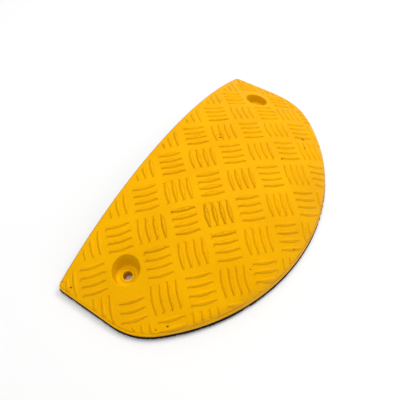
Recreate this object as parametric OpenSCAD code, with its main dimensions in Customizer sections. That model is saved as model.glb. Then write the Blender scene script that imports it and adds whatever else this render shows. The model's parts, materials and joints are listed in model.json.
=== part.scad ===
// End section of a rubber speed ramp: a black rubber base under a yellow
// rubber wear skin, with a chequer tread and two counterbored fixing holes.
// Frame: X from the joint face (x = 0) to the tip, Y along the joint face,
// Z up from the road. The origin is on the road, midway along the joint face.

/* [Overall] */
// width of the ramp along the joint face
joint_width = 430; // [390:1:460]
// length from the joint face to the tip
end_length = 222; // [200:1:245]
// height of the ridge at the joint face
crown_height = 57; // [48:1:66]

/* [Plan] */
// radius of the rounded end
tip_radius = 252; // [240:1:290]
// radius that blends the end into each straight flank
corner_radius = 80; // [60:1:95]

/* [Crown] */
// height at which the crown's arc reaches the flanks
shoulder_height = 9.5; // [9:0.5:12]
// distance beyond the tip at which the ridge line reaches the rim height
nose_overrun = 2; // [1:0.5:6]
// how long the ridge line stays level before it falls
nose_fullness = 3.2; // [2.8:0.1:4]
// how sharply the ridge line turns down at the end
nose_sharpness = 0.8; // [0.6:0.05:1]
// radius that rounds the crown down into the rim
rim_round = 12; // [9:1:16]

/* [Layers] */
// height of the black band at the foot
band_height = 5.5; // [4:0.5:6]
// height of the upright yellow lip above the band
lip_height = 1.5; // [1:0.5:2]
// thickness of the yellow skin
skin_thickness = 5; // [3:0.5:7]

/* [Tread] */
// distance between the centres of neighbouring cells
tread_pitch = 39.3; // [34:0.1:44]
// share by which the cells draw together at half the joint width from the tread's middle
tread_crowding = 0.05; // [0:0.005:0.1]
// bars in a cell
bars_per_cell = 4; // [3:1:4]
// distance between the bars of a cell
bar_spacing = 9; // [8:0.25:9.5]
// length of a bar from point to point
bar_length = 28; // [24:0.5:30]
// width of a bar at its middle
bar_width = 4.6; // [3.5:0.1:6]
// height of a bar above the crown
bar_height = 1.8; // [1:0.1:2.5]
// plain margin along the joint face
joint_margin = 6; // [4:1:20]
// plain margin along the rim
rim_margin = 4.5; // [4:0.5:16]
// least distance from a counterbore's low side to the middle of a bar
bar_clearance = 22; // [18:1:30]

/* [Fixing holes] */
// distance between the two holes
hole_spacing = 324; // [290:1:340]
// distance from the joint face to the holes
hole_offset = 60; // [50:1:75]
// diameter of the through hole
hole_diameter = 11; // [9:0.5:13]
// diameter of the counterbore at its floor
seat_diameter = 26; // [22:0.5:28]
// diameter of the counterbore where its axis meets the crown
mouth_diameter = 32; // [30:0.5:38]
// height of the counterbore floor above the road
seat_height = 13; // [11:0.5:16]
// thickness of the yellow lining of the counterbore
lining_thickness = 2.5; // [2:0.5:3]
// width of the raised collar round the through hole
collar_width = 2.5; // [1.5:0.25:4]
// height of the raised collar round the through hole
collar_height = 1.2; // [0.6:0.1:2]

/* [Washers] */
// outside diameter of a moulded-in washer
washer_diameter = 24; // [20:0.5:28]
// thickness of a moulded-in washer
washer_thickness = 2.5; // [1.5:0.5:3]
// bore of a moulded-in washer, wider than the through hole so that rubber lines it
washer_bore = 15; // [12:0.5:16]

/* [View] */

/* [Hidden] */
$fn = 96;
past = 1; // how far a cutting tool runs past the face it cuts
half_width = joint_width / 2;
rim_height = band_height + lip_height;
top = crown_height + bar_height + past;

// The joint profile is an arc through the ridge and both shoulders, and the
// crown is turned about the axis of that arc, which lies below the road.
sagitta = crown_height - shoulder_height;
crown_radius = (half_width * half_width + sagitta * sagitta) / (2 * sagitta);
axis_height = crown_height - crown_radius;
crown_sweep = 2 * asin(half_width / (crown_radius - sagitta)) + 10;
ridge_steps = 12;

// The plan is a rectangle, a corner arc on each side and the end arc.
end_centre = end_length - tip_radius;
corner_y = half_width - corner_radius;
corner_x = end_centre + sqrt(pow(tip_radius - corner_radius, 2) - pow(corner_y, 2));
corner_angle = atan2(corner_y, corner_x - end_centre);
corner_reach = 0.1; // how far a corner arc is drawn outside the flank and the end arc that it crosses
rim_turn = 36; // turn of the rim round before it runs on as a straight slope
rim_turn_step = 9;

// Height of the ridge line above the road, and its slope.
ridge_end = end_length + nose_overrun;
ridge_fall = crown_height - rim_height;
function ridge_fill(x) = 1 - pow(x / ridge_end, nose_fullness);
function ridge(x) = rim_height + ridge_fall * pow(ridge_fill(x), nose_sharpness);
function ridge_slope(x) = -ridge_fall * nose_sharpness * nose_fullness / ridge_end
    * pow(ridge_fill(x), nose_sharpness - 1) * pow(x / ridge_end, nose_fullness - 1);

// Point of the ridge line as (radius from the crown axis, x), set in by inset.
function ridge_point(x, inset) =
    let(slope = ridge_slope(x), run = sqrt(1 + slope * slope))
    [ridge(x) - axis_height - inset / run, x + inset * slope / run];

// Height of the crown over a point of the plan.
function crown_at(x, y) = sqrt(pow(ridge(x) - axis_height, 2) - y * y) + axis_height;

// Section of the rim as (distance in from the plan outline, height), set in
// by inset: upright, then round through rim_turn, then a slope to the top.
function rim_profile(inset) =
    let(
        radius = rim_round - inset,
        round = [for (turn = [0 : rim_turn_step : rim_turn])
            [rim_round - radius * cos(turn), rim_height + radius * sin(turn)]],
        last = round[len(round) - 1])
    concat([[inset, 0]], round, [[last[0] + (top - last[1]) * tan(rim_turn), top]]);

// The crown turned about its axis, set in by inset.
module crown(inset) {
    reach = end_length + nose_overrun / 2;
    line = [for (i = [0 : ridge_steps])
        ridge_point(reach * (1 - pow(1 - i / ridge_steps, 1.5)), inset)];
    inner = -axis_height / 2;
    translate([0, 0, axis_height])
        rotate([0, 90, 0])
            rotate([0, 0, 180 - crown_sweep / 2])
                rotate_extrude(angle = crown_sweep)
                    polygon(concat([[inner, 0]], line, [[inner, line[ridge_steps][1]]]));
}

// What the corner arcs cut from the plan, set in by inset.
module corner_notch(inset) {
    angles = [corner_angle, (corner_angle + 90) / 2, 90];
    for (s = [0, 1])
        mirror([0, s, 0])
            translate([corner_x, corner_y])
                difference() {
                    polygon(concat([[0, 0]],
                        [for (a = angles) 2 * corner_radius * [cos(a), sin(a)]]));
                    circle(corner_radius - inset + corner_reach);
                }
}

// The plan raised to the top, with its rim rounded over and set in by inset.
module rim_block(inset) {
    profile = rim_profile(inset);
    side = [for (p = profile) [half_width - p[0], p[1]]];
    other = [for (i = [len(side) - 1 : -1 : 0]) [-side[i][0], side[i][1]]];
    difference() {
        intersection() {
            rotate([90, 0, 90])
                linear_extrude(end_length)
                    polygon(concat(side, other));
            translate([end_centre, 0, 0])
                rotate_extrude()
                    polygon(concat([[0, 0]], [for (p = profile) [tip_radius - p[0], p[1]]],
                        [[0, top]]));
        }
        translate([0, 0, -past])
            linear_extrude(top + 2 * past)
                corner_notch(inset);
    }
}

// The outer form of the ramp, set in by inset.
module form(inset) {
    intersection() {
        crown(inset);
        rim_block(inset);
        translate([0, -half_width, 0])
            cube([end_length, joint_width, top]);
    }
}

// A tread bar from above: two arcs that meet in a point at each end.
module bar_outline() {
    arc_radius = (bar_length * bar_length + bar_width * bar_width) / (4 * bar_width);
    intersection() {
        translate([0, arc_radius - bar_width / 2])
            circle(arc_radius);
        translate([0, bar_width / 2 - arc_radius])
            circle(arc_radius);
    }
}

// A fixing hole takes the place of the cell under it, and the bar that is
// nearest to the low side of its counterbore is left out.
low_side = [hole_offset, hole_spacing / 2 + bar_width];
function holds_cell(p) =
    p[0] > -tread_pitch && p[0] < end_length + tread_pitch
    && abs(p[1]) < half_width + tread_pitch
    && norm([p[0] - hole_offset, abs(p[1]) - hole_spacing / 2]) > tread_pitch / 2;
function holds_bar(p) = norm([p[0], abs(p[1])] - low_side) > bar_clearance;

// Cells on a square grid at 45 degrees to the joint face, each with parallel
// bars. The bars of neighbouring cells lie crosswise. The cells draw together
// towards the rim, where the crown falls away.
module tread_outline() {
    cells = ceil(joint_width / tread_pitch);
    step = tread_pitch * sqrt(0.5);
    for (i = [-cells : cells])
        for (j = [-cells : cells]) {
            flat = [(i + j) * step, (i - j) * step];
            drawn = 1 - tread_crowding * pow(norm(flat) / half_width, 2);
            cell = [hole_offset, 0] + flat * drawn;
            lie = (i + j) % 2 == 0 ? -45 : 45;
            if (holds_cell(cell))
                for (k = [0 : bars_per_cell - 1]) {
                    shift = (k - (bars_per_cell - 1) / 2) * bar_spacing;
                    bar = cell + shift * [-sin(lie), cos(lie)];
                    if (holds_bar(bar))
                        translate(bar)
                            rotate([0, 0, lie])
                                bar_outline();
                }
        }
}

// The part of the plan that carries tread.
module tread_field() {
    difference() {
        intersection() {
            translate([joint_margin, rim_margin - half_width])
                square([end_length, joint_width - 2 * rim_margin]);
            translate([end_centre, 0])
                circle(tip_radius - rim_margin);
        }
        corner_notch(rim_margin);
    }
}

// The raised bars, from inside the skin up to bar_height above the crown.
module tread() {
    intersection() {
        translate([0, 0, rim_height])
            linear_extrude(top - rim_height)
                intersection() {
                    tread_outline();
                    tread_field();
                }
        form(-bar_height);
    }
}

// Places its children at both fixing holes.
module at_holes() {
    for (s = [-1, 1])
        translate([hole_offset, s * hole_spacing / 2, 0])
            children();
}

// The counterbore, widened by wall. Its floor is at seat_height less wall.
module counterbore(wall) {
    crown_here = crown_at(hole_offset, hole_spacing / 2);
    draft = (mouth_diameter - seat_diameter) / 2 / (crown_here - seat_height);
    depth = top - seat_height + wall;
    low_radius = seat_diameter / 2 + wall - wall * draft;
    translate([0, 0, seat_height - wall])
        cylinder(h = depth, r1 = low_radius, r2 = low_radius + depth * draft);
}

module through_hole() {
    translate([0, 0, -past])
        cylinder(h = top + 2 * past, d = hole_diameter);
}

// A steel ring whose top face lies against the lining of the counterbore floor.
module washer() {
    translate([0, 0, seat_height - lining_thickness - washer_thickness])
        difference() {
            cylinder(h = washer_thickness, d = washer_diameter);
            translate([0, 0, -past])
                cylinder(h = washer_thickness + 2 * past, d = washer_bore);
        }
}

// Raised collar on the counterbore floor, round the through hole.
module collar() {
    outside = hole_diameter + 2 * collar_width;
    translate([0, 0, seat_height])
        cylinder(h = collar_height, d1 = outside, d2 = outside - collar_height);
}

// Black rubber body: a band on the road and a core under the skin.
module rubber_base() {
    color("#1d1d1c")
        difference() {
            union() {
                form(skin_thickness);
                intersection() {
                    form(0);
                    translate([0, -half_width, 0])
                        cube([end_length, joint_width, band_height]);
                }
            }
            at_holes() {
                counterbore(lining_thickness);
                washer();
                through_hole();
            }
        }
}

// Yellow rubber skin with the tread and the lining of both counterbores.
module wear_skin() {
    color("#f7b105")
        difference() {
            union() {
                difference() {
                    union() {
                        form(0);
                        tread();
                    }
                    form(skin_thickness);
                    translate([-past, -half_width - past, -past])
                        cube([end_length + 2 * past, joint_width + 2 * past, band_height + past]);
                    at_holes() {
                        counterbore(0);
                        washer();
                    }
                }
                intersection() {
                    form(0);
                    at_holes()
                        difference() {
                            counterbore(lining_thickness);
                            counterbore(0);
                        }
                }
                at_holes()
                    collar();
            }
            at_holes()
                through_hole();
        }
}

// Steel washer moulded in under the counterbore floor.
module seat_washer(side) {
    color("#9a9c9e")
        translate([hole_offset, side * hole_spacing / 2, 0])
            washer();
}

module washer_left() {
    seat_washer(1);
}

module washer_right() {
    seat_washer(-1);
}

rubber_base();
wear_skin();
washer_left();
washer_right();
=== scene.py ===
"""Looks of the speed ramp end section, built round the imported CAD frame.

Sizes are in millimetres up to Shell.piece(), which makes the meshes in metres.
X runs from the joint face to the tip, Y along the joint face, Z up from the road.
"""
import json
import math
import random

import bpy
import numpy as np
from mathutils import Matrix, Vector, noise
from mathutils.geometry import delaunay_2d_cdt


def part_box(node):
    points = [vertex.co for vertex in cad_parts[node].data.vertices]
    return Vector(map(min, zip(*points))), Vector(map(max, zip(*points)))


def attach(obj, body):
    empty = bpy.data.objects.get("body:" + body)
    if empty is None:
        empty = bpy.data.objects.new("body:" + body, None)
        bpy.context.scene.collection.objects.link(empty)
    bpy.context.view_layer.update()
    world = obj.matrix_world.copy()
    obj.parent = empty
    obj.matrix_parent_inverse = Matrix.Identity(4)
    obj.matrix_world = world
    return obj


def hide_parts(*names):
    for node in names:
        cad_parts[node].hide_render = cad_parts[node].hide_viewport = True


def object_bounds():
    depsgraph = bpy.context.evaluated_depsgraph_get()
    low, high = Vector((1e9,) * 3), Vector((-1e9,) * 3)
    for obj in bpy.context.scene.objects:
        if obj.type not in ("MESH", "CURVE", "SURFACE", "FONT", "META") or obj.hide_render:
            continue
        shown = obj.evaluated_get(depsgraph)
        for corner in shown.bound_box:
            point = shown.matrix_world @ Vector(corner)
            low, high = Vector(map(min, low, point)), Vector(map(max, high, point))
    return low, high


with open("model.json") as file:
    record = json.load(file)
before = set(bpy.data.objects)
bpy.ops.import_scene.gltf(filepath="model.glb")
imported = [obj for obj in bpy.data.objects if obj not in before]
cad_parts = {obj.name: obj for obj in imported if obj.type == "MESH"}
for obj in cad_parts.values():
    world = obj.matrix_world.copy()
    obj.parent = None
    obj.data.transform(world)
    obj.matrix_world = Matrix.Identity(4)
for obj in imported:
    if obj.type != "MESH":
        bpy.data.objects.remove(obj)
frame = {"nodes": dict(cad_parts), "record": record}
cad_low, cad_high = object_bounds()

# ---------------------------------------------------------------- sizes from the frame
MM = 1000.0  # millimetres in a metre
HALF_WIDTH = round((cad_high.y - cad_low.y) * MM / 2, 1)
LENGTH = round(cad_high.x * MM, 1)
HOLES = [
    (mount["pos_m"][0] * MM, mount["pos_m"][1] * MM)
    for mount in frame["record"]["mounts"]
    if mount["kind"] == "bore"
]
HOLE_X, HOLE_Y = HOLES[0][0], abs(HOLES[0][1])
BAND_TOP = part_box("wear_skin")[0].z * MM
WASHER_LOW, WASHER_TOP = (corner.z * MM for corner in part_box("washer_left"))

# ---------------------------------------------------------------- sizes of the form, as in the CAD
CROWN_HEIGHT = 57.0  # the ridge at the joint face
SHOULDER = 9.5  # the crown at both ends of the joint face
TIP_RADIUS = 252.0  # plan radius of the end
CORNER_RADIUS = 80.0  # plan radius between the end and a flank
NOSE_OVERRUN = 2.0  # how far past the tip the ridge would come down
NOSE_FULLNESS = 3.2  # how late it starts to fall
NOSE_SHARPNESS = 0.8  # how steep it is in the end
RIM_HEIGHT = BAND_TOP + 1.5  # where the rim starts to turn in
RIM_ROUND = 12.0  # radius of that turn
RIM_TURN = math.radians(36)  # how far it turns before it runs on straight
RIM_BLEND = 1.6  # how softly it meets the crown
SKIN = 5.0  # thickness of the skin

PITCH = 39.3  # from tread cell to tread cell
CROWDING = 0.05  # share by which a cell that lies HALF_WIDTH out has drawn in
BARS_PER_CELL = 4
BAR_SPACING = 9.0
BAR_LENGTH = 28.0
BAR_WIDTH = 4.6
BAR_HEIGHT = 1.8
BAR_CLEARANCE = 22.0  # least distance from a counterbore's low side to the middle of a bar
JOINT_MARGIN = 6.0  # plain strip along the joint face
RIM_MARGIN = 4.5  # plain strip along the rim

HOLE_RADIUS = 5.5
SEAT_RADIUS = 13.0  # the floor of a counterbore
SEAT_HEIGHT = 13.0
MOUTH_RADIUS = 16.0
LINING = 2.5  # thickness of the skin in a counterbore
COLLAR_RADIUS = 8.0
COLLAR_HEIGHT = 1.2
WASHER_RADIUS = 12.0
WASHER_BORE = 7.5  # radius of the washer's hole

SAGITTA = CROWN_HEIGHT - SHOULDER
CROWN_RADIUS = (HALF_WIDTH**2 + SAGITTA**2) / (2 * SAGITTA)
AXIS = CROWN_HEIGHT - CROWN_RADIUS
END_CENTRE = LENGTH - TIP_RADIUS
CORNER_Y = HALF_WIDTH - CORNER_RADIUS
CORNER_X = END_CENTRE + math.sqrt((TIP_RADIUS - CORNER_RADIUS) ** 2 - CORNER_Y**2)
CORNER_ANGLE = math.atan2(CORNER_Y, CORNER_X - END_CENTRE)

# ---------------------------------------------------------------- sizes of the visual model alone
BASE_INSET = 0.08  # the black base stays this far inside the CAD outline
SKIN_INSET = 1.4  # the yellow skin stays further in, so the base shows as a ledge under it
JOINT_CORNER = 5.0  # plan radius of the corners at the joint face
JOINT_ROUND = 1.2  # the skin's edge at the joint face
MOUTH_ROUND = 1.1  # the lip of a counterbore
SEAT_FILLET = 1.0  # between its wall and its floor
WAVINESS = 0.16  # the skin's top rises and falls this far
CREASE_AT, CREASE_WIDTH, CREASE_DEPTH = 3.5, 0.45, 0.4  # the crease along the rim
FLASH = 0.9  # the most that the mould line bites into the base's outline
UNDER_GAP = 0.2  # the skin's underside lies this much deeper than SKIN
SKIN_FIT = 0.03  # the base's top lies this far under the skin
RING_FIT = 0.05  # the base stays this far off the lining and the washer
SEAT_FIT = 0.02  # and this far off their flat faces

FILLET = 0.55  # the foot of a bar runs out this far beside it
PROFILE_AT = (0.0, 0.17, 0.33, 0.5, 0.67, 0.83, 0.92, 1.0)  # from a bar's middle to its foot
PROFILE_RISE = (1.0, 0.95, 0.79, 0.55, 0.30, 0.10, 0.03, 0.0)
CUT_END = 2.0  # a bar that the margin cuts off is rounded over this length
END_SLOPE = 3.0  # and every bar rises from its end over this length
END_REACH = 0.35  # which starts this far before the end
SHORTEST_BAR = 3.5
BAR_REACH = 15  # a square of this half size holds a bar and its foot
THIN = 0.35  # a bar's half width under which it has no points across it

# Where the photograph shows pitted bars, and how far the wear reaches.
WORN_PLACES = ((66, -97), (103, -60), (118, -47), (79, -68), (132, -70), (60, 20), (108, 12))
WORN_REACH = 11.0
PITTED = 0.15  # the wear from which a bar is pitted
PIT_SIZE, PIT_DEPTH = 1.7, 1.1
# Painted shade lies along both sides of the bars round the middle and mostly on the near side elsewhere.
SHADED_MIDDLE = (78, -45)
SHADED_REACH = 75.0
FOOT_SHADE_AT, FOOT_SHADE_SHARE = (-60, 60, 170), (1.0, 0.8, 0.3)  # by y: less of it at the far end
FOOT_SHADE_LINE, FOOT_SHADE_WIDTH = 0.92, 0.11  # across a bar, as shares of the way to its foot

# ---------------------------------------------------------------- where the meshes have points
SKIN_STEP = 2.6  # along the skin's outline
BASE_STEP = 1.3  # along the base's outline
JOINT_POINTS = 150  # along the joint face
BAR_STEP = 1.5  # along a bar
BAR_BESIDE, BAR_PAST = 0.6, 0.45  # on clean ground beside a bar's foot and past its ends
TOP_GRID, UNDER_GRID, ROAD_GRID = 3.4, 9.0, 12.0
GRID_BESIDE, GRID_PAST = 1.7, 1.6  # how far the grid keeps off a bar's sides and ends
GRID_RIM, GRID_MOUTH = 1.5, 5.5  # off the last stop of the rim and off a counterbore
GRID_NICK = 2.0  # and off a nick, in shares of its own size
EDGE_STOPS = (0.0, 0.15, 0.45, 0.9, 1.4)  # in from the joint face
RIM_STOPS = (SKIN_INSET, 1.55, 1.85, 2.3, 2.95, CREASE_AT, 4.05, 4.8, 5.6)  # in from the outline
MOUTH_STOPS = (0.1, 0.3, 0.6, 1.1, 1.9, 3.0)  # out from the lip of a counterbore
WALL_STOPS = (0.12, 0.3, 0.5, 0.7, 0.86)  # down the wall of a counterbore, as shares of it
# Rings round a nick, each a share of its size and how ragged it is.
NICK_RINGS = ((1.0, 0.28), (1.35, 0.28), (0.55, 0.0))
# Down the base's wall: the share of its height, how far in it lies and how rough it is.
BASE_WALL = ((0.25, 0.1, 0.2), (0.55, 0.05, 0.2), (0.8, 0.1, 0.3), (1.0, 0.2, 0.45))
TURNS = 72  # round a hole
NICK_TURNS = 12  # round a nick


# ---------------------------------------------------------------- form
def ridge(x):
    """Height of the crown over the X axis."""
    fill = 1 - np.clip(x / (LENGTH + NOSE_OVERRUN), 0, 1) ** NOSE_FULLNESS
    return RIM_HEIGHT + (CROWN_HEIGHT - RIM_HEIGHT) * fill**NOSE_SHARPNESS


def crown_at(x, y):
    """Height of the crown, whose sections across the X axis are arcs."""
    return np.sqrt((ridge(x) - AXIS) ** 2 - y * y) + AXIS


def edge_drop(distance, radius):
    """How far a rounded edge has fallen at a distance from its side."""
    gap = np.clip(radius - distance, 0, radius)
    return radius - np.sqrt(radius**2 - gap**2)


def edge_distance(x, y):
    """Distance in from the plan outline, without the joint face."""
    y = np.abs(y)
    flank = HALF_WIDTH - y - edge_drop(x, JOINT_CORNER)
    tip = TIP_RADIUS - np.hypot(x - END_CENTRE, y)
    turn = np.arctan2(y - CORNER_Y, x - CORNER_X)
    corner = CORNER_RADIUS - np.hypot(x - CORNER_X, y - CORNER_Y)
    in_corner = (turn > CORNER_ANGLE) & (turn < math.pi / 2)
    return np.where(in_corner, corner, np.minimum(tip, flank))


def outward(points):
    """Unit directions out of the plan outline at points near it."""
    x, y = points[:, 0], points[:, 1]
    step = 0.05
    nx = edge_distance(x - step, y) - edge_distance(x + step, y)
    ny = edge_distance(x, y - step) - edge_distance(x, y + step)
    return np.stack([nx, ny], 1) / np.maximum(np.hypot(nx, ny), 1e-6)[:, None]


def rim_at(d):
    """Height of the rounded rim over a point that lies d in from its foot."""
    start = RIM_ROUND * (1 - math.cos(RIM_TURN))
    d = np.maximum(d, 0)
    run = RIM_ROUND - np.minimum(d, start)
    arc = RIM_HEIGHT + np.sqrt(np.maximum(RIM_ROUND**2 - run**2, 0))
    return arc + np.maximum(d - start, 0) / math.tan(RIM_TURN)


def smooth_min(a, b, reach):
    """The lower of two heights, rounded where they come within reach of each other."""
    share = np.clip(0.5 + 0.5 * (b - a) / reach, 0, 1)
    return b * (1 - share) + a * share - reach * share * (1 - share)


def form(x, y, inset):
    """Height of the crown with its rim set in from the outline."""
    return smooth_min(crown_at(x, y), rim_at(edge_distance(x, y) - inset), RIM_BLEND)


def surface(x, y):
    """Height of the skin without bars, nicks or counterbores."""
    return form(x, y, SKIN_INSET)


def underside(x, y):
    """Height of the skin's underside."""
    return np.maximum(form(x, y, 0.0) - SKIN - UNDER_GAP, BAND_TOP)


def wave(x, y, size, seed):
    """Smooth noise from -1 to 1 with features of about that size."""
    return np.array([noise.noise(Vector((a / size, b / size, seed))) for a, b in zip(x, y)])


# ---------------------------------------------------------------- holes
MOUTH_HEIGHT = float(crown_at(HOLE_X, HOLE_Y))  # where the cone has MOUTH_RADIUS


def circle(centre, radii):
    """Points round a hole, with one radius for each turn."""
    turn = np.arange(TURNS) * 2 * math.pi / TURNS
    return np.stack([centre[0] + radii * np.cos(turn), centre[1] + radii * np.sin(turn)], 1)


def ring_at(centre, radius, z):
    """A circle at a height, or at one height for each turn."""
    flat = circle(centre, np.broadcast_to(radius, TURNS))
    return np.column_stack([flat, np.broadcast_to(z, TURNS)])


def bore_radius(z, wall=0.0):
    """Radius of the counterbore at a height, widened by wall."""
    draft = (MOUTH_RADIUS - SEAT_RADIUS) / (MOUTH_HEIGHT - SEAT_HEIGHT)
    return SEAT_RADIUS + wall + (z - SEAT_HEIGHT) * draft


def mouth(centre, height, wall=0.0):
    """Radii at which the counterbore's cone meets a surface, one for each turn."""
    radii = np.full(TURNS, MOUTH_RADIUS + wall)
    for _ in range(12):
        at = circle(centre, radii)
        radii = bore_radius(height(at[:, 0], at[:, 1]), wall)
    return radii


# ---------------------------------------------------------------- tread
class Bar:
    """One raised bar: u runs along it from end to end and v across it."""

    arc = (BAR_LENGTH**2 + BAR_WIDTH**2) / (4 * BAR_WIDTH)
    slack = 0.3  # at its ends

    def __init__(self, x, y, lie, start, end, rng):
        self.x, self.y = x, y
        self.along = (math.cos(lie), math.sin(lie))
        self.start, self.end = start, end
        whole = BAR_LENGTH / 2 - self.slack
        self.cut = start > -whole, end < whole
        self.height = BAR_HEIGHT * rng.uniform(0.86, 1.0)
        self.wide = rng.uniform(0.95, 1.05)
        self.lean = rng.uniform(-0.12, 0.12)
        near = min(math.hypot(x - wx, y - wy) for wx, wy in WORN_PLACES)
        self.worn = min(1.0, 0.5 * rng.random() ** 3 + math.exp(-((near / WORN_REACH) ** 2)))
        from_middle = math.hypot(x - SHADED_MIDDLE[0], y - SHADED_MIDDLE[1])
        self.far_side_shade = 0.2 + 0.8 * math.exp(-((from_middle / SHADED_REACH) ** 2))
        self.foot_shade = float(np.interp(y, FOOT_SHADE_AT, FOOT_SHADE_SHARE)) * (0.75 + 0.25 * self.worn)

    def half_width(self, u):
        """Half the bar's width along it: two arcs, with a rounded end where it is cut off."""
        lens = np.sqrt(self.arc**2 - u * u) - (self.arc - BAR_WIDTH / 2)
        lens = np.maximum(lens, 0) * self.wide
        for cut, gap in zip(self.cut, (u - self.start, self.end - u)):
            if cut:
                round_end = np.clip(gap / CUT_END, 0, 1)
                lens = lens * np.sqrt(1 - (1 - round_end) ** 2)
        return np.where((u < self.start) | (u > self.end), 0, lens)

    def place(self, u, v):
        """Plan points from places along and across the bar."""
        c, s = self.along
        return np.stack([self.x + c * u - s * v, self.y + s * u + c * v], -1)

    def local(self, x, y):
        """Places along and across the bar from plan points."""
        c, s = self.along
        dx, dy = x - self.x, y - self.y
        return c * dx + s * dy, c * dy - s * dx

    def foot(self, x, y):
        """How much painted shade lies along the foot of the bar, falling to 0 beside it."""
        u, v = self.local(x, y)
        half = self.half_width(u)
        across = (v - self.lean * half) / np.maximum(half + FILLET, 1e-6)
        line = np.exp(-(((np.abs(across) - FOOT_SHADE_LINE) / FOOT_SHADE_WIDTH) ** 2))
        line = self.foot_shade * line * np.where(across > 0, self.far_side_shade, 1.0)
        return np.where((u > self.start) & (u < self.end), line, 0)

    def rise(self, x, y):
        """Height of the bar over the skin."""
        u, v = self.local(x, y)
        half = self.half_width(u)
        across = np.abs(v - self.lean * half) / np.maximum(half + FILLET, 1e-6)
        shape = np.interp(across, PROFILE_AT, PROFILE_RISE)
        from_end = np.minimum(u - self.start + END_REACH, self.end - u + END_REACH)
        ends = np.clip(from_end / END_SLOPE, 0, 1)
        full = np.sqrt(1 - (1 - ends) ** 2)
        on_bar = (u > self.start - self.slack) & (u < self.end + self.slack)
        return np.where(on_bar, self.height * shape * full, 0)


def in_field(x, y):
    """Which points lie where the tread goes."""
    return (x > JOINT_MARGIN) & (edge_distance(x, y) > RIM_MARGIN)


def tread_bars():
    """The bars of all cells, each cut off where it would leave the tread's field."""
    rng = random.Random(7)
    step = PITCH * math.sqrt(0.5)
    cells = math.ceil(2 * HALF_WIDTH / PITCH)
    low_side = (HOLE_X, HOLE_Y + BAR_WIDTH)
    along = np.linspace(-BAR_LENGTH / 2, BAR_LENGTH / 2, 113)
    bars = []
    for i in range(-cells, cells + 1):
        for j in range(-cells, cells + 1):
            flat_x, flat_y = (i + j) * step, (i - j) * step
            drawn = 1 - CROWDING * (math.hypot(flat_x, flat_y) / HALF_WIDTH) ** 2
            cx, cy = HOLE_X + flat_x * drawn, flat_y * drawn
            lie = math.radians(-45 if (i + j) % 2 == 0 else 45)
            if math.hypot(cx - HOLE_X, abs(cy) - HOLE_Y) < PITCH / 2:
                continue
            for k in range(BARS_PER_CELL):
                shift = (k - (BARS_PER_CELL - 1) / 2) * BAR_SPACING
                x = cx - shift * math.sin(lie)
                y = cy + shift * math.cos(lie)
                if math.hypot(x - low_side[0], abs(y) - low_side[1]) < BAR_CLEARANCE:
                    continue
                kept = along[in_field(x + along * math.cos(lie), y + along * math.sin(lie))]
                if len(kept) and kept[-1] - kept[0] > SHORTEST_BAR:
                    bars.append(Bar(x, y, lie, kept[0], kept[-1], rng))
    return bars


# ---------------------------------------------------------------- nicks
class Nick:
    """A small oval piece torn out of the skin."""

    def __init__(self, x, y, length, width, degrees, depth):
        self.x, self.y = x, y
        self.half_length, self.half_width = length / 2, width / 2
        self.cos, self.sin = math.cos(math.radians(degrees)), math.sin(math.radians(degrees))
        self.depth = depth

    def away(self, x, y):
        """How far points are from the middle, where 1 is the nick's edge."""
        dx, dy = x - self.x, y - self.y
        u = (dx * self.cos + dy * self.sin) / self.half_length
        v = (dy * self.cos - dx * self.sin) / self.half_width
        return np.hypot(u, v)

    def ring(self, share, ragged, rng):
        """Points round the nick at a share of its size, unevenly where ragged isn't 0."""
        points = []
        for k in range(NICK_TURNS):
            a = 2 * math.pi * k / NICK_TURNS
            r = share * (1 + ragged * rng.uniform(-1, 1)) if ragged else share
            u, v = r * math.cos(a) * self.half_length, r * math.sin(a) * self.half_width
            x = self.x + u * self.cos - v * self.sin
            y = self.y + u * self.sin + v * self.cos
            points.append((x, y))
        return points


# Each nick: x, y, length, width, turn in degrees, depth.
NICKS = [
    Nick(61, 43, 3.2, 1.5, 25, 1.0),
    Nick(58, 47, 1.4, 0.9, 80, 0.6),
    Nick(34, 26, 2.2, 1.2, -30, 0.8),
    Nick(36, 31, 1.2, 0.8, 60, 0.5),
    Nick(15, -206, 2.6, 1.2, 10, 0.7),
    Nick(152, 122, 4.4, 1.2, 2, 0.8),
    Nick(160, 107, 1.7, 1.1, 40, 0.6),
    Nick(208, -36, 2.0, 1.3, 70, 0.7),
    Nick(130, -184, 2.4, 1.4, 20, 0.8),
    Nick(121, -193, 1.8, 1.2, -50, 0.6),
    Nick(143, 62, 2.0, 1.1, 45, 0.7),
    Nick(96, 148, 1.8, 1.0, 15, 0.6),
    Nick(176, -88, 1.6, 1.0, -20, 0.5),
    Nick(22, 118, 1.5, 1.0, 55, 0.5),
]


# ---------------------------------------------------------------- plan points
def arc_points(x, y, radius, angles):
    """Points at those angles on the circle round x, y."""
    return [(x + radius * math.cos(a), y + radius * math.sin(a)) for a in angles]


def outline(inset, spacing):
    """The plan outline set in by inset, from one end of the joint face round to the other."""
    first, last = EDGE_STOPS[-1] + spacing, CORNER_X - spacing / 2
    flank = [*EDGE_STOPS, *np.arange(first, last, spacing)]
    half = [(x, HALF_WIDTH - inset - edge_drop(x, JOINT_CORNER)) for x in flank]
    turns = int(CORNER_RADIUS * (math.pi / 2 - CORNER_ANGLE) / spacing)
    angles = [math.pi / 2 + (CORNER_ANGLE - math.pi / 2) * k / turns for k in range(turns)]
    half += arc_points(CORNER_X, CORNER_Y, CORNER_RADIUS - inset, angles)
    turns = int(TIP_RADIUS * CORNER_ANGLE / spacing)
    angles = [CORNER_ANGLE * (1 - k / turns) for k in range(turns + 1)]
    half += arc_points(END_CENTRE, 0.0, TIP_RADIUS - inset, angles)
    return half + [(x, -y) for x, y in reversed(half[:-1])]


def joint_line(inset):
    """Points along the joint face between the two ends of that outline."""
    reach = HALF_WIDTH - JOINT_CORNER - inset
    return [(0.0, y) for y in np.linspace(-reach, reach, JOINT_POINTS)[1:-1]]


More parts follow.
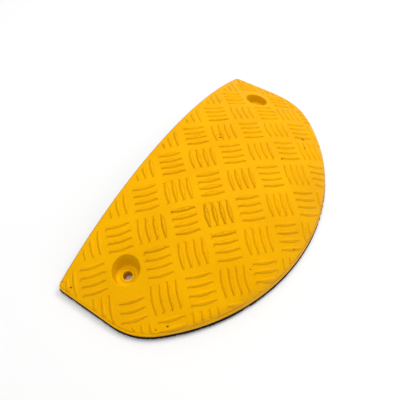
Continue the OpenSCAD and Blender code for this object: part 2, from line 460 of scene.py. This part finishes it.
def grid_points(start, spacing, edge_gap, hole_gap, staggered=False):
    """A grid over the plan that keeps off the outline and the holes."""
    x, y = np.meshgrid(np.arange(start, LENGTH, spacing), np.arange(-HALF_WIDTH, HALF_WIDTH, spacing))
    if staggered:
        x = x + np.where((np.arange(len(x)) % 2)[:, None], spacing / 2, 0)
    x, y = x.ravel(), y.ravel()
    keep = edge_distance(x, y) > edge_gap
    for centre in HOLES:
        keep &= np.hypot(x - centre[0], y - centre[1]) > hole_gap
    return x[keep], y[keep]


class Plan:
    """Points in plan with the edges that the triangulation has to keep."""

    def __init__(self):
        self.points, self.edges = [], []

    def add(self, points, chain=False, ring=False):
        first = len(self.points)
        self.points += [Vector((float(x), float(y))) for x, y in points]
        count = len(self.points) - first
        if chain or ring:
            self.edges += [(first + k, first + k + 1) for k in range(count - 1)]
        if ring:
            self.edges.append((first + count - 1, first))
        return range(first, first + count)

    def triangles(self):
        """(plan points, triangles, where each given point went)."""
        inside_only, epsilon = 1, 1e-4
        made = delaunay_2d_cdt(self.points, self.edges, [], inside_only, epsilon, True)
        points, _, faces, origin, _, _ = made
        went = np.zeros(len(self.points), int)
        for new, olds in enumerate(origin):
            for old in olds:
                went[old] = new
        return np.array([(p.x, p.y) for p in points]), np.array(faces), went


def drop_holes(faces, rings):
    """Leaves out the triangles that fill a ring."""
    for ring in rings:
        inside = np.isin(faces, ring).all(axis=1)
        faces = faces[~inside]
    return faces


def within(loop, points):
    """Which points lie inside a closed loop, by counting the edges to the right of each."""
    inside = np.zeros(len(points), bool)
    for a, b in zip(loop, np.roll(loop, -1, axis=0)):
        spans = (a[1] > points[:, 1]) != (b[1] > points[:, 1])
        rise = b[1] - a[1] if b[1] != a[1] else 1.0
        inside ^= spans & (points[:, 0] < a[0] + (points[:, 1] - a[1]) / rise * (b[0] - a[0]))
    return inside


def sheet(loop, hole_radii, spacing, hole_gap, inner=None):
    """A coarse sheet in plan with its holes left out: (points, triangles, loop, rings)."""
    plan = Plan()
    edge = plan.add(loop, ring=True)
    rings = [plan.add(circle(c, radii), ring=True) for c, radii in zip(HOLES, hole_radii)]
    plan.add(zip(*grid_points(8, spacing, 6, hole_gap)))
    if inner:
        plan.add(outline(inner, SKIN_STEP)[1:-1])
    flat, faces, went = plan.triangles()
    rings = [[went[k] for k in ring] for ring in rings]
    faces = drop_holes(faces, rings)
    faces = faces[within(np.asarray(loop), flat[faces].mean(axis=1))]
    return flat, faces, [went[k] for k in edge], rings


# ---------------------------------------------------------------- meshes
class Shell:
    """Points, faces and values per point of one piece, gathered part by part."""

    def __init__(self, *keys):
        self.points, self.faces = [], []
        self.values = {key: [] for key in keys}

    def add(self, points, **values):
        """Adds points, with values that are 0 if not given, and returns their numbers."""
        first = len(self.points)
        self.points.extend(np.asarray(points, float))
        for key, data in self.values.items():
            data.extend(np.broadcast_to(values.get(key, 0.0), len(points)))
        return list(range(first, len(self.points)))

    def at(self, numbers):
        return np.array([self.points[k] for k in numbers])

    def bridge(self, loops):
        """Quads between loops of equal length."""
        for a, b in zip(loops, loops[1:]):
            for k in range(len(a)):
                n = (k + 1) % len(a)
                self.faces.append((a[k], a[n], b[n], b[k]))

    def piece(self, name, sharp_degrees):
        """The Blender object, in metres."""
        mesh = bpy.data.meshes.new(name)
        points = [tuple(p) for p in np.array(self.points) / MM]
        mesh.from_pydata(points, [], self.faces)
        mesh.validate()
        mesh.update()
        for key, data in self.values.items():
            values = np.asarray(data, np.float32)
            mesh.attributes.new(key, "FLOAT", "POINT").data.foreach_set("value", values)
        mesh.shade_smooth()
        mesh.set_sharp_from_angle(angle=math.radians(sharp_degrees))
        obj = bpy.data.objects.new(name, mesh)
        bpy.context.scene.collection.objects.link(obj)
        return obj


# ---------------------------------------------------------------- the skin
def add_bar_points(plan, bar):
    """Points across the profile of a bar, on clean ground beside it and past its ends."""
    stations = int(max(6, (bar.end - bar.start) / BAR_STEP))
    turn = np.linspace(0, math.pi, stations + 1)
    u = bar.start + (bar.end - bar.start) * (1 - np.cos(turn)) / 2
    half = bar.half_width(u)
    wide = half > THIN
    for share in [-at for at in PROFILE_AT[:0:-1]] + list(PROFILE_AT):
        keep = wide | (abs(share) in (0.0, 1.0))
        v = share * (half + FILLET) + bar.lean * half
        plan.add(bar.place(u[keep], v[keep]), chain=abs(share) == 1.0)
    for side in (-1, 1):
        v = side * (half[wide] + FILLET + BAR_BESIDE) + bar.lean * half[wide]
        plan.add(bar.place(u[wide], v))
    for past in (bar.start - BAR_PAST, bar.end + BAR_PAST):
        plan.add([bar.place(past, 0.0)])


def skin_plan(rim, joint, bars):
    """Plan of the skin's top, dense where its form needs it: (plan, edge, rings)."""
    rng = random.Random(11)
    plan = Plan()
    edge = plan.add(rim + joint, ring=True)
    for inset in RIM_STOPS[1:]:
        plan.add(outline(inset, SKIN_STEP)[1:-1], chain=True)
    straight = HALF_WIDTH - JOINT_CORNER - RIM_STOPS[-1]
    for x in EDGE_STOPS[1:]:
        plan.add([(x, y) for _, y in joint if abs(y) < straight])

    rings = []
    for centre in HOLES:
        radii = mouth(centre, surface)
        rings.append(plan.add(circle(centre, radii), ring=True))
        for stop in MOUTH_STOPS:
            plan.add(circle(centre, radii + stop))
    for bar in bars:
        add_bar_points(plan, bar)
    for nick in NICKS:
        for share, ragged in NICK_RINGS:
            plan.add(nick.ring(share, ragged, rng))
        plan.add([(nick.x, nick.y)])

    edge_gap, hole_gap = RIM_STOPS[-1] + GRID_RIM, MOUTH_RADIUS + GRID_MOUTH
    x, y = grid_points(3.2, TOP_GRID, edge_gap, hole_gap, staggered=True)
    keep = np.ones(len(x), bool)
    for bar in bars:
        u, v = bar.local(x, y)
        half = bar.half_width(np.clip(u, bar.start, bar.end))
        along = (u > bar.start - GRID_PAST) & (u < bar.end + GRID_PAST)
        keep &= ~(along & (np.abs(v) < half + GRID_BESIDE))
    for nick in NICKS:
        keep &= nick.away(x, y) > GRID_NICK
    plan.add(zip(x[keep], y[keep]))
    return plan, edge, rings


def tread_at(x, y, bars):
    """(rise over the skin, wear, painted shade at their feet) that the bars bring to each point."""
    rise, worn, foot = np.zeros((3, len(x)))
    for bar in bars:
        at = np.flatnonzero((np.abs(x - bar.x) < BAR_REACH) & (np.abs(y - bar.y) < BAR_REACH))
        up = bar.rise(x[at], y[at])
        rise[at] = np.maximum(rise[at], up)
        worn[at] = np.maximum(worn[at], np.where(up > 0.4 * bar.height, bar.worn, 0))
        foot[at] = np.maximum(foot[at], bar.foot(x[at], y[at]))
    pitted = np.flatnonzero(worn > PITTED)
    pits = np.clip(wave(x[pitted], y[pitted], PIT_SIZE, 8.2) - 0.05, 0, 0.6)
    rise[pitted] -= PIT_DEPTH * worn[pitted] * pits
    return rise, worn, foot


def lip_drop(centre, x, y):
    """How far the rounded lip of a counterbore has fallen at points near it."""
    radii = mouth(centre, surface)
    turn = np.arctan2(y - centre[1], x - centre[0]) % (2 * math.pi)
    lip = np.interp(turn, np.arange(TURNS + 1) * 2 * math.pi / TURNS, np.append(radii, radii[0]))
    away = np.hypot(x - centre[0], y - centre[1])
    return edge_drop(np.maximum(away - lip, 0), MOUTH_ROUND)


def add_skin_top(shell, rim, joint, bars):
    """The top with its tread, crease and nicks. Returns its edge and the rings of its holes."""
    plan, edge, rings = skin_plan(rim, joint, bars)
    flat, faces, went = plan.triangles()
    x, y = flat.T
    top = surface(x, y) + WAVINESS * wave(x, y, 38.0, 3.1) - WAVINESS
    rise, worn, foot = tread_at(x, y, bars)
    crease = np.exp(-(((edge_distance(x, y) - CREASE_AT) / CREASE_WIDTH) ** 2))
    crease = crease * np.clip(0.75 + 0.9 * wave(x, y, 26.0, 4.4), 0, 1)
    # painted shade in the crease along the rim, carried with the shade at the bars' feet
    foot = np.maximum(foot, 0.85 * crease)
    # painted shade over the rounded edge at the joint face
    foot = np.where(x < 1.0, 1.0, foot)
    top = top + rise - CREASE_DEPTH * crease - edge_drop(x, JOINT_ROUND)
    nicked = np.zeros(len(x))
    for nick in NICKS:
        away = nick.away(x, y)
        top = top - nick.depth * np.clip((1.25 - away) / 0.7, 0, 1)
        nicked = np.maximum(nicked, np.clip((1.2 - away) / 0.4, 0, 1))
    for centre in HOLES:
        near = np.flatnonzero(np.hypot(x - centre[0], y - centre[1]) < MOUTH_RADIUS + 4)
        top[near] -= lip_drop(centre, x[near], y[near])
    edge = [went[k] for k in edge]
    rings = [[went[k] for k in ring] for ring in rings]
    on_rim = edge[: len(rim)]
    top[on_rim] = np.where(x[on_rim] > 0, RIM_HEIGHT, top[on_rim])
    shell.add(np.stack([x, y, top], 1), nicked=nicked, worn=worn, foot=foot)
    shell.faces += [tuple(f) for f in drop_holes(faces, rings)]
    return edge, rings


def add_counterbore(shell, centre, ring, low_ring):
    """The wall, floor and collar of a counterbore, its hole and the outside of its lining."""
    lip = shell.at(ring)[:, 2]
    made = []
    for share in WALL_STOPS:
        z = lip * (1 - share) + (SEAT_HEIGHT + SEAT_FILLET) * share
        made.append(ring_at(centre, bore_radius(z), z))
    for up, inward in ((1.0, 0.0), (0.45, 0.15), (0.12, 0.5), (0.0, 1.0)):
        z = SEAT_HEIGHT + up * SEAT_FILLET
        made.append(ring_at(centre, bore_radius(z) - inward * SEAT_FILLET, z))
    for radius, z in (
        (COLLAR_RADIUS + 0.5, 0.0),
        (COLLAR_RADIUS + 0.1, 0.15),
        (COLLAR_RADIUS - 0.25, 0.75),
        (COLLAR_RADIUS - 0.55, 1.08),
        (COLLAR_RADIUS - 1.0, COLLAR_HEIGHT),
        (HOLE_RADIUS + 0.7, COLLAR_HEIGHT),
        (HOLE_RADIUS + 0.25, 1.1),
        (HOLE_RADIUS + 0.02, 0.75),
    ):
        made.append(ring_at(centre, radius, SEAT_HEIGHT + z))
    low = WASHER_TOP + SEAT_FIT
    made.append(ring_at(centre, HOLE_RADIUS + 0.02, low))
    made.append(ring_at(centre, bore_radius(WASHER_TOP, LINING) - 2 * RING_FIT, low))
    # the counterbore's own rings get painted light, a lighter yellow against their shade
    shell.bridge([ring, *(shell.add(points, well=1.0) for points in made), low_ring])


def build_skin():
    """The yellow skin. Its underside follows the base."""
    shell = Shell("nicked", "worn", "foot", "well")
    rim, joint = outline(SKIN_INSET, SKIN_STEP), joint_line(SKIN_INSET)
    edge, rings = add_skin_top(shell, rim, joint, tread_bars())

    radii = [mouth(centre, underside, LINING) for centre in HOLES]
    hole_gap = MOUTH_RADIUS + LINING + 3
    flat, faces, low_edge, low_rings = sheet(rim + joint, radii, UNDER_GRID, hole_gap, inner=2.0)
    x, y = flat.T
    first = shell.add(np.stack([x, y, underside(x, y)], 1))[0]
    shell.faces += [tuple(int(k) + first for k in f[::-1]) for f in faces]
    low_edge = [k + first for k in low_edge]
    low_rings = [[k + first for k in ring] for ring in low_rings]

    # the lip at the foot and the edge on the joint face, halfway down between both sheets
    middle = shell.add(shell.at(edge) * [1, 1, 0.5] + shell.at(low_edge) * [0, 0, 0.5])
    shell.bridge([edge, middle, low_edge])
    for centre, ring, low_ring in zip(HOLES, rings, low_rings):
        add_counterbore(shell, centre, ring, low_ring)
    return shell.piece("ramp_skin", 50)


# ---------------------------------------------------------------- the base
def ragged_rim():
    """The base's outline with what the mould line bites out of it."""
    rim = np.array(outline(BASE_INSET, BASE_STEP))
    x, y = rim.T
    flash = 0.35 + 0.75 * wave(x, y, 2.3, 5.5) + 0.4 * wave(x, y, 5.5, 7.5)
    flash *= np.clip(0.45 + 1.2 * wave(x, y, 48.0, 1.7), 0, 1)
    off_joint = np.clip(x / 6 - 0.5, 0, 1)  # none of it at the joint face
    flash = np.clip(flash, 0, FLASH) * off_joint
    return rim + outward(rim) * -flash[:, None]


def add_base_wall(shell, loop, rim_count, edge):
    """The wall from the top edge down to a ragged foot. Returns the foot."""
    x, y = loop.T
    on_rim = np.arange(len(loop)) < rim_count
    nx, ny = (outward(loop) * on_rim[:, None]).T
    top = shell.at(edge)[:, 2]
    loops = [edge]
    for share, depth, rough in BASE_WALL:
        fine, broad = wave(x, y, 2.1, 5.0 + share), wave(x, y, 6.5, 9.0 + share)
        ragged = depth + rough * fine + rough * 0.6 * broad
        ragged = np.where(on_rim, np.maximum(ragged, 0.0), 0)
        z = top * (1 - share)
        if share == 1.0:
            z = np.where(on_rim, np.maximum(0.35 * wave(x, y, 4.0, 2.0) - 0.1, 0), 0)
        ring = np.stack([np.maximum(x - nx * ragged, 0), y - ny * ragged, z], 1)
        loops.append(shell.add(ring))
    shell.bridge(loops)
    return loops[-1]


def add_road_face(shell, foot):
    """The flat face inside the foot. Returns the rings of its two holes."""
    radii = [np.full(TURNS, HOLE_RADIUS)] * len(HOLES)
    flat, faces, edge, rings = sheet(shell.at(foot)[:, :2], radii, ROAD_GRID, HOLE_RADIUS + 4)
    number = dict(zip(edge, foot))
    rest = [k for k in range(len(flat)) if k not in number]
    number.update(zip(rest, shell.add([(*flat[k], 0.0) for k in rest])))
    shell.faces += [tuple(number[int(k)] for k in f[::-1]) for f in faces]
    return [[number[k] for k in ring] for ring in rings]


def build_base():
    """The black body. Its foot shows as a slightly ragged band under the skin."""
    shell = Shell("bore")
    rim = ragged_rim()
    loop = np.concatenate([rim, joint_line(BASE_INSET)])
    radii = [mouth(centre, underside, LINING) + RING_FIT for centre in HOLES]
    hole_gap = MOUTH_RADIUS + LINING + 3
    flat, faces, edge, rings = sheet(loop, radii, UNDER_GRID, hole_gap, inner=3.0)
    x, y = flat.T
    shell.add(np.stack([x, y, underside(x, y) - SKIN_FIT], 1))
    shell.faces += [tuple(f) for f in faces]
    foot = add_base_wall(shell, loop, len(rim), edge)
    low_rings = add_road_face(shell, foot)

    # the recess for the lining, the washer's seat and the hole
    top, low = WASHER_TOP - SEAT_FIT, WASHER_LOW - SEAT_FIT
    for centre, ring, low_ring in zip(HOLES, rings, low_rings):
        recess = (
            (bore_radius(WASHER_TOP, LINING) + RING_FIT, top),
            (WASHER_RADIUS + RING_FIT, top),
            (WASHER_RADIUS + RING_FIT, low),
            (WASHER_BORE - RING_FIT, low),
            (WASHER_BORE - RING_FIT, top),
            (HOLE_RADIUS, top),
        )
        made = [shell.add(ring_at(centre, radius, z)) for radius, z in recess]
        shell.bridge([ring, *made, low_ring])
    x, y, _ = np.array(shell.points).T
    in_bore = np.hypot(x - HOLE_X, np.abs(y) - HOLE_Y) < HOLE_RADIUS + 0.1
    shell.values["bore"] = np.where(in_bore, 0.9, 0.0)
    return shell.piece("ramp_base", 40)


# ---------------------------------------------------------------- materials
class Nodes:
    """Small helper for building a material's nodes."""

    def __init__(self, name):
        self.material = bpy.data.materials.new(name)
        self.material.use_nodes = True
        self.tree = self.material.node_tree
        self.shader = self.tree.nodes["Principled BSDF"]
        self.place = self.put("TexCoord").outputs["Object"]

    def put(self, kind, inputs=None, **settings):
        node = self.tree.nodes.new("ShaderNode" + kind)
        for key, value in settings.items():
            setattr(node, key, value)
        for key, value in (inputs or {}).items():
            if isinstance(value, bpy.types.NodeSocket):
                self.tree.links.new(value, node.inputs[key])
            else:
                node.inputs[key].default_value = value
        return node

    def attribute(self, name):
        return self.put("Attribute", attribute_name=name).outputs["Fac"]

    def noise(self, scale, detail=3.0, rough=0.5):
        inputs = {"Vector": self.place, "Scale": scale, "Detail": detail, "Roughness": rough}
        return self.put("TexNoise", inputs).outputs["Fac"]

    def ramp(self, value, low, high, to_low=0.0, to_high=1.0):
        inputs = {"Value": value, "From Min": low, "From Max": high, "To Min": to_low, "To Max": to_high}
        return self.put("MapRange", inputs).outputs["Result"]

    def math(self, operation, a, b):
        return self.put("Math", {0: a, 1: b}, operation=operation).outputs["Value"]

    def mix(self, share, a, b):
        """A colour between a and b, each a socket or red, green and blue."""
        a, b = ((*value, 1) if isinstance(value, tuple) else value for value in (a, b))
        return self.put("Mix", {0: share, 6: a, 7: b}, data_type="RGBA").outputs[2]

    def bump(self, height, strength, distance, after=None):
        inputs = {"Height": height, "Strength": strength, "Distance": distance}
        if after is not None:
            inputs["Normal"] = after
        return self.put("Bump", inputs).outputs["Normal"]

    def link(self, value, name):
        self.tree.links.new(value, self.shader.inputs[name])

    def set(self, **values):
        """Sets the shader's own sockets, with _ for a space in their names."""
        for name, value in values.items():
            self.shader.inputs[name.replace("_", " ")].default_value = value


def skin_material():
    n = Nodes("yellow_rubber")
    cloud = n.noise(22.0, 3.0, 0.55)
    grain = n.noise(420.0, 3.0, 0.6)
    fine = n.noise(1500.0, 2.0, 0.5)
    speck = n.noise(620.0, 1.0, 0.4)
    worn = n.attribute("worn")
    base = n.mix(n.ramp(cloud, 0.3, 0.7), (0.845, 0.390, 0.0004), (0.915, 0.450, 0.0006))
    base = n.mix(n.ramp(grain, 0.35, 0.7, 0.0, 0.22), base, (0.89, 0.465, 0.0010))
    dusty = n.ramp(n.noise(34.0, 4.0, 0.65), 0.52, 0.72)
    dust = n.math("MULTIPLY", dusty, n.ramp(fine, 0.4, 0.7, 0.0, 0.35))
    base = n.mix(dust, base, (0.89, 0.49, 0.005))
    pitted = n.ramp(n.noise(55.0, 2.0), 0.5, 0.62, 0.0, 0.22)
    pits = n.math("MULTIPLY", n.ramp(speck, 0.62, 0.70), pitted)
    base = n.mix(pits, base, (0.50, 0.20, 0.004))
    rubbed = n.math("MULTIPLY", worn, n.ramp(grain, 0.50, 0.64, 0.0, 0.5))
    base = n.mix(rubbed, base, (0.60, 0.26, 0.006))
    # painted shade: darker brown along the feet of the bars, in the crease along the rim and on the edge
    # at the joint face
    patchy = n.ramp(n.noise(130.0, 3.0, 0.6), 0.35, 0.65, 0.50, 0.92)
    base = n.mix(n.math("MULTIPLY", n.attribute("foot"), patchy), base, (0.36, 0.120, 0.0004))
    torn = n.math("MULTIPLY", n.attribute("nicked"), n.ramp(fine, 0.3, 0.45, 0.6, 1.0))
    base = n.mix(torn, base, (0.028, 0.020, 0.012))
    # painted light: the counterbores' walls, floors and collars are made a lighter yellow
    base = n.mix(n.math("MULTIPLY", n.attribute("well"), 0.8), base, (0.82, 0.50, 0.0010))
    n.link(base, "Base Color")
    n.link(n.ramp(n.math("ADD", cloud, grain), 0.7, 1.3, 0.46, 0.62), "Roughness")
    n.set(Specular_IOR_Level=0.16, Specular_Tint=(1.0, 0.74, 0.08, 1))
    normal = n.bump(n.noise(75.0, 2.0, 0.5), 0.35, 0.0012)
    normal = n.bump(grain, 0.30, 0.0005, normal)
    normal = n.bump(n.math("MULTIPLY", worn, grain), 1.0, 0.0010, normal)
    n.link(n.bump(fine, 0.22, 0.0002, normal), "Normal")
    return n.material


def base_material():
    n = Nodes("black_rubber")
    grain = n.noise(520.0, 4.0, 0.65)
    crumb = n.noise(180.0, 3.0, 0.6)
    base = n.mix(n.ramp(crumb, 0.35, 0.7), (0.0040, 0.0037, 0.0034), (0.0130, 0.0120, 0.0108))
    base = n.mix(n.ramp(grain, 0.60, 0.75, 0.0, 0.5), base, (0.050, 0.046, 0.040))
    smear = n.math("MULTIPLY", n.attribute("bore"), n.ramp(crumb, 0.25, 0.55, 0.8, 1.0))
    base = n.mix(smear, base, (0.80, 0.44, 0.002))
    n.link(base, "Base Color")
    n.link(n.ramp(crumb, 0.3, 0.7, 0.62, 0.85), "Roughness")
    n.set(Specular_IOR_Level=0.08)
    normal = n.bump(crumb, 0.5, 0.0010)
    n.link(n.bump(grain, 0.5, 0.0005, normal), "Normal")
    return n.material


def washer_material():
    n = Nodes("zinc_steel")
    cloud = n.noise(240.0, 3.0, 0.6)
    grain = n.noise(900.0, 2.0, 0.5)
    n.link(n.mix(n.ramp(cloud, 0.35, 0.7), (0.26, 0.26, 0.27), (0.42, 0.42, 0.43)), "Base Color")
    n.link(n.ramp(cloud, 0.3, 0.7, 0.38, 0.60), "Roughness")
    n.set(Metallic=1.0)
    n.link(n.bump(grain, 0.3, 0.0002), "Normal")
    return n.material


def floor_material():
    n = Nodes("pale_floor")
    n.set(Base_Color=(0.93, 0.93, 0.93, 1), Roughness=0.9, Specular_IOR_Level=0.1)
    return n.material


# ---------------------------------------------------------------- pieces
skin = build_skin()
base = build_base()
skin.data.materials.append(skin_material())
base.data.materials.append(base_material())
for piece, node, slot in ((skin, "wear_skin", "skin_rubber"), (base, "rubber_base", "base_rubber")):
    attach(piece, "root")
    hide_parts(node)
steel = washer_material()
for name in ("washer_left", "washer_right"):
    washer = frame["nodes"][name]
    washer.data.materials.clear()
    washer.data.materials.append(steel)

# ---------------------------------------------------------------- studio, in metres
FLOOR_REACH = 6.0
FLOOR_GAP = 0.0002  # under the road face
LIT_POINT = Vector((0.1, 0, 0.02))
LIGHT_DISTANCE = 2.2
LIGHTS = (  # name, direction from the object, size, power
    ("overhead", (-0.15, 0.1, 1.0), 1.4, 20),
    ("key", (0.22, 0.68, 1.0), 0.8, 17),
    ("fill", (0.35, -0.9, 0.6), 1.2, 3),
)
WORLD_STRENGTH = 0.45


def link(name, data):
    obj = bpy.data.objects.new(name, data)
    bpy.context.scene.collection.objects.link(obj)
    return obj


corners = [(x * FLOOR_REACH, y * FLOOR_REACH, 0) for x, y in ((-1, -1), (1, -1), (1, 1), (-1, 1))]
floor_mesh = bpy.data.meshes.new("floor")
floor_mesh.from_pydata(corners, [], [(0, 1, 2, 3)])
floor_mesh.materials.append(floor_material())
floor = link("floor", floor_mesh)
floor.location.z = -FLOOR_GAP

for name, direction, size, power in LIGHTS:
    light = bpy.data.lights.new(name, "AREA")
    light.shape = "DISK"
    light.size = size
    light.energy = power
    lamp = link(name, light)
    way = Vector(direction).normalized()
    lamp.location = LIT_POINT + way * LIGHT_DISTANCE
    lamp.rotation_mode = "QUATERNION"
    lamp.rotation_quaternion = (-way).to_track_quat("-Z", "Y")

world = bpy.data.worlds.new("studio")
bpy.context.scene.world = world
world.use_nodes = True
background = world.node_tree.nodes["Background"].inputs
background["Color"].default_value = (1, 1, 1, 1)
background["Strength"].default_value = WORLD_STRENGTH

# ---------------------------------------------------------------- camera
# It is set by its heading, elevation, roll and distance from a point on the road.
HEADING, ELEVATION, ROLL = math.radians(30.35), math.radians(57.68), math.radians(1.43)
DISTANCE = 0.45225
TARGET = Vector((0.07205, -0.02445, 0.0))
SENSOR, FOCAL_LENGTH = 36.0, 30.18  # in millimetres

camera_data = bpy.data.cameras.new("camera")
camera_data.sensor_width = SENSOR
camera_data.lens = FOCAL_LENGTH
camera_data.clip_start = 0.01
camera = link("camera", camera_data)
level = math.cos(ELEVATION)
back = Vector((math.sin(HEADING) * level, -math.cos(HEADING) * level, math.sin(ELEVATION)))
side = (-back).cross(Vector((0, 0, 1))).normalized()
up = side.cross(-back)
side, up = side * math.cos(ROLL) + up * math.sin(ROLL), up * math.cos(ROLL) - side * math.sin(ROLL)
turn = Matrix((side, up, back)).transposed().to_4x4()
camera.matrix_world = Matrix.Translation(TARGET + back * DISTANCE) @ turn
bpy.context.scene.camera = camera
bpy.context.scene.view_settings.view_transform = "Standard"
